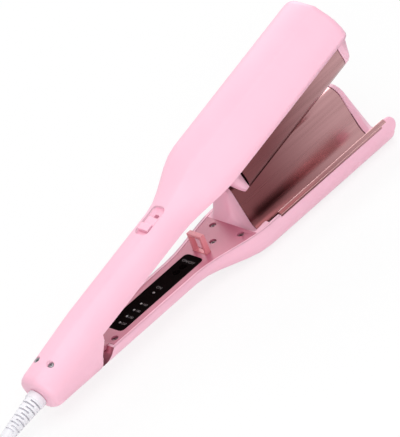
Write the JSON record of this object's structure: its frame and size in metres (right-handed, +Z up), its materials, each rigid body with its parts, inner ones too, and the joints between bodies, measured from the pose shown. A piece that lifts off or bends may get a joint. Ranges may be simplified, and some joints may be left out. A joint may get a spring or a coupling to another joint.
{
  "type": "deep-wave hair iron",
  "caption": "Deep-wave hair iron: hinged arms with S-shaped heated plates, opening spring, sliding lock with loop, panel with push buttons, ribbed boot and coiled mains cord.",
  "frame": {"origin": "middle of the flat strip under the lower head, on which the part rests", "axes": "+X along the lower arm from the hinge to its nose, +Z up out of the rest face, +Y towards the far side; the cord's coil lies behind the tail, towards -X"},
  "size_m": [0.4653, 0.0678, 0.1054],
  "materials": {
    "pink_plastic": "satin pink moulded plastic",
    "deck_plastic": "satin pink moulded plastic, a shade deeper",
    "latch_plastic": "satin salmon moulded plastic",
    "rose_plate": "glossy rose-gold coating on aluminium",
    "gloss_black": "polished black",
    "button_black": "satin black",
    "lamp_window": "milky translucent plastic",
    "white_rubber": "matte white flexible plastic",
    "steel": "plated steel",
    "brass": "plain brass",
    "heater_ceramic": "unglazed ceramic",
    "heat_resin": "heat-resistant black moulding",
    "circuit_green": "green circuit board"
  },
  "bodies": {
    "upper_arm": {"upper_casing": "pink_plastic", "upper_liner": "deck_plastic", "upper_heat_plate": "rose_plate", "upper_heater": "heater_ceramic", "upper_bracket_rear": "heat_resin", "upper_bracket_front": "heat_resin", "temperature_sensor": "steel", "liner_screw_1": "steel", "liner_screw_2": "steel", "tail_screw_1": "steel", "tail_screw_2": "steel", "hinge_pin": "steel", "hinge_bush_1": "brass", "hinge_bush_2": "brass", "opening_spring": "steel", "cord_boot": "white_rubber", "cord_clamp": "heat_resin", "cord": "white_rubber", "cord_coil": "white_rubber", "plug_body": "white_rubber", "plug_blade_1": "brass", "plug_blade_2": "brass"},
    "lower_arm": {"lower_casing": "pink_plastic", "lower_deck": "deck_plastic", "lower_heat_plate": "rose_plate", "lower_heater": "heater_ceramic", "lower_bracket_rear": "heat_resin", "lower_bracket_front": "heat_resin", "thermal_fuse": "steel", "latch_loop": "latch_plastic", "deck_screw_1": "steel", "deck_screw_2": "steel", "deck_screw_3": "steel", "deck_screw_4": "steel", "deck_screw_5": "steel", "control_panel": "gloss_black", "indicator_light_1": "lamp_window", "indicator_light_2": "lamp_window", "indicator_light_3": "lamp_window", "indicator_light_4": "lamp_window", "indicator_light_5": "lamp_window", "circuit_board": "circuit_green", "power_switch": "steel", "temperature_switch": "steel"},
    "latch_slider": {"latch_slider": "pink_plastic"},
    "power_button": {"power_button": "button_black"},
    "temperature_button": {"temperature_button": "button_black"}
  },
  "joints": [
    {"name": "arm_hinge", "type": "hinge", "parent": "upper_arm", "child": "lower_arm", "pos_m": [-0.2175, 0.00535, 0.023], "axis": [0, -1, 0], "range_deg": [0, 12.7], "stiffness_Nm_per_rad": 1, "springref_deg": -25.78},
    {"name": "latch_slide", "type": "slide", "parent": "upper_arm", "child": "latch_slider", "axis": [0.9755, 0, 0.2198], "range_m": [0, 0.006]},
    {"name": "power_press", "type": "slide", "parent": "lower_arm", "child": "power_button", "axis": [0, 0, -1], "range_m": [0, 0.0005], "stiffness_N_per_m": 800, "springref_m": -0.0005},
    {"name": "temperature_press", "type": "slide", "parent": "lower_arm", "child": "temperature_button", "axis": [0, 0, -1], "range_m": [0, 0.0005], "stiffness_N_per_m": 800, "springref_m": -0.0005}
  ]
}
